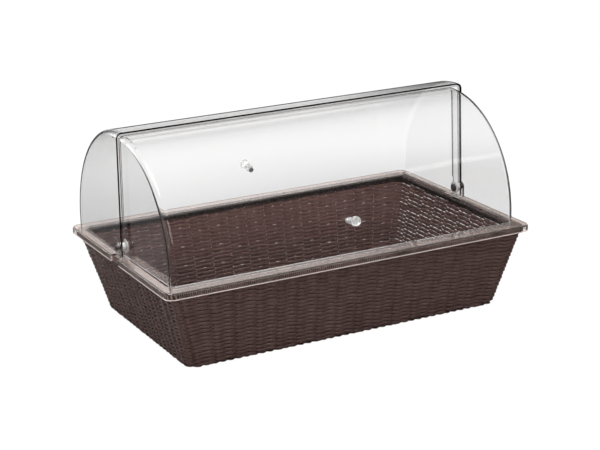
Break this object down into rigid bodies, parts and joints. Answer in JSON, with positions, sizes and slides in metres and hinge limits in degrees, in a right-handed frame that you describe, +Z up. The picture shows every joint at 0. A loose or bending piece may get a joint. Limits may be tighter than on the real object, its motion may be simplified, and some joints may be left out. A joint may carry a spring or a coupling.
{
  "type": "countertop bread display bin",
  "caption": "Long woven plastic-rattan basket under a clear roll-top cover with front and rear hoods that roll open on side pins.",
  "frame": {"origin": "centre of the base on the table", "axes": "+X along the long side to the right, -Y to the front, +Z up"},
  "size_m": [0.54, 0.3384, 0.2833],
  "materials": {
    "weave": "semi-gloss dark brown plastic rattan strands, woven",
    "rattan_border": "semi-gloss dark brown plastic rattan, wrapped over a steel rod",
    "steel_rod": "plain drawn wire, hidden in the borders",
    "clear_plastic": "clear, faintly grey moulded polycarbonate, polished",
    "knob_plastic": "clear milky acrylic, polished",
    "dark_pin": "dark nylon, satin",
    "spacer_plastic": "natural nylon",
    "screw_steel": "bright zinc-plated steel"
  },
  "bodies": {
    "basket": {"base_border": "rattan_border", "base_rod": "steel_rod", "base_mat": "weave", "outer_weave": "weave", "inner_weave": "weave", "front_stakes": "weave", "right_stakes": "weave", "rear_stakes": "weave", "left_stakes": "weave", "corner_stakes": "weave", "rim_rod": "steel_rod", "rim_border": "rattan_border"},
    "cover_frame": {"cover_rail": "clear_plastic", "pivot_bracket_right": "clear_plastic", "pivot_bracket_left": "clear_plastic", "pivot_pin_right": "dark_pin", "pivot_pin_left": "dark_pin", "hub_washer_right": "spacer_plastic", "hub_washer_left": "spacer_plastic", "hood_spacer_right": "spacer_plastic", "hood_spacer_left": "spacer_plastic", "pin_cap_right": "dark_pin", "pin_cap_left": "dark_pin"},
    "front_cover": {"front_hood": "clear_plastic", "front_knob": "knob_plastic", "front_knob_screw": "screw_steel"},
    "rear_cover": {"rear_hood": "clear_plastic", "rear_knob": "knob_plastic", "rear_knob_screw": "screw_steel"}
  },
  "joints": [
    {"name": "cover_lift", "type": "slide", "parent": "basket", "child": "cover_frame", "axis": [0, 0, 1], "range_m": [0, 0.06]},
    {"name": "front_hood_roll", "type": "hinge", "parent": "cover_frame", "child": "front_cover", "pos_m": [0, 0, 0.1296], "axis": [-1, 0, 0], "range_deg": [0, 50]},
    {"name": "rear_hood_roll", "type": "hinge", "parent": "cover_frame", "child": "rear_cover", "pos_m": [0, 0, 0.1296], "axis": [1, 0, 0], "range_deg": [0, 22]}
  ]
}
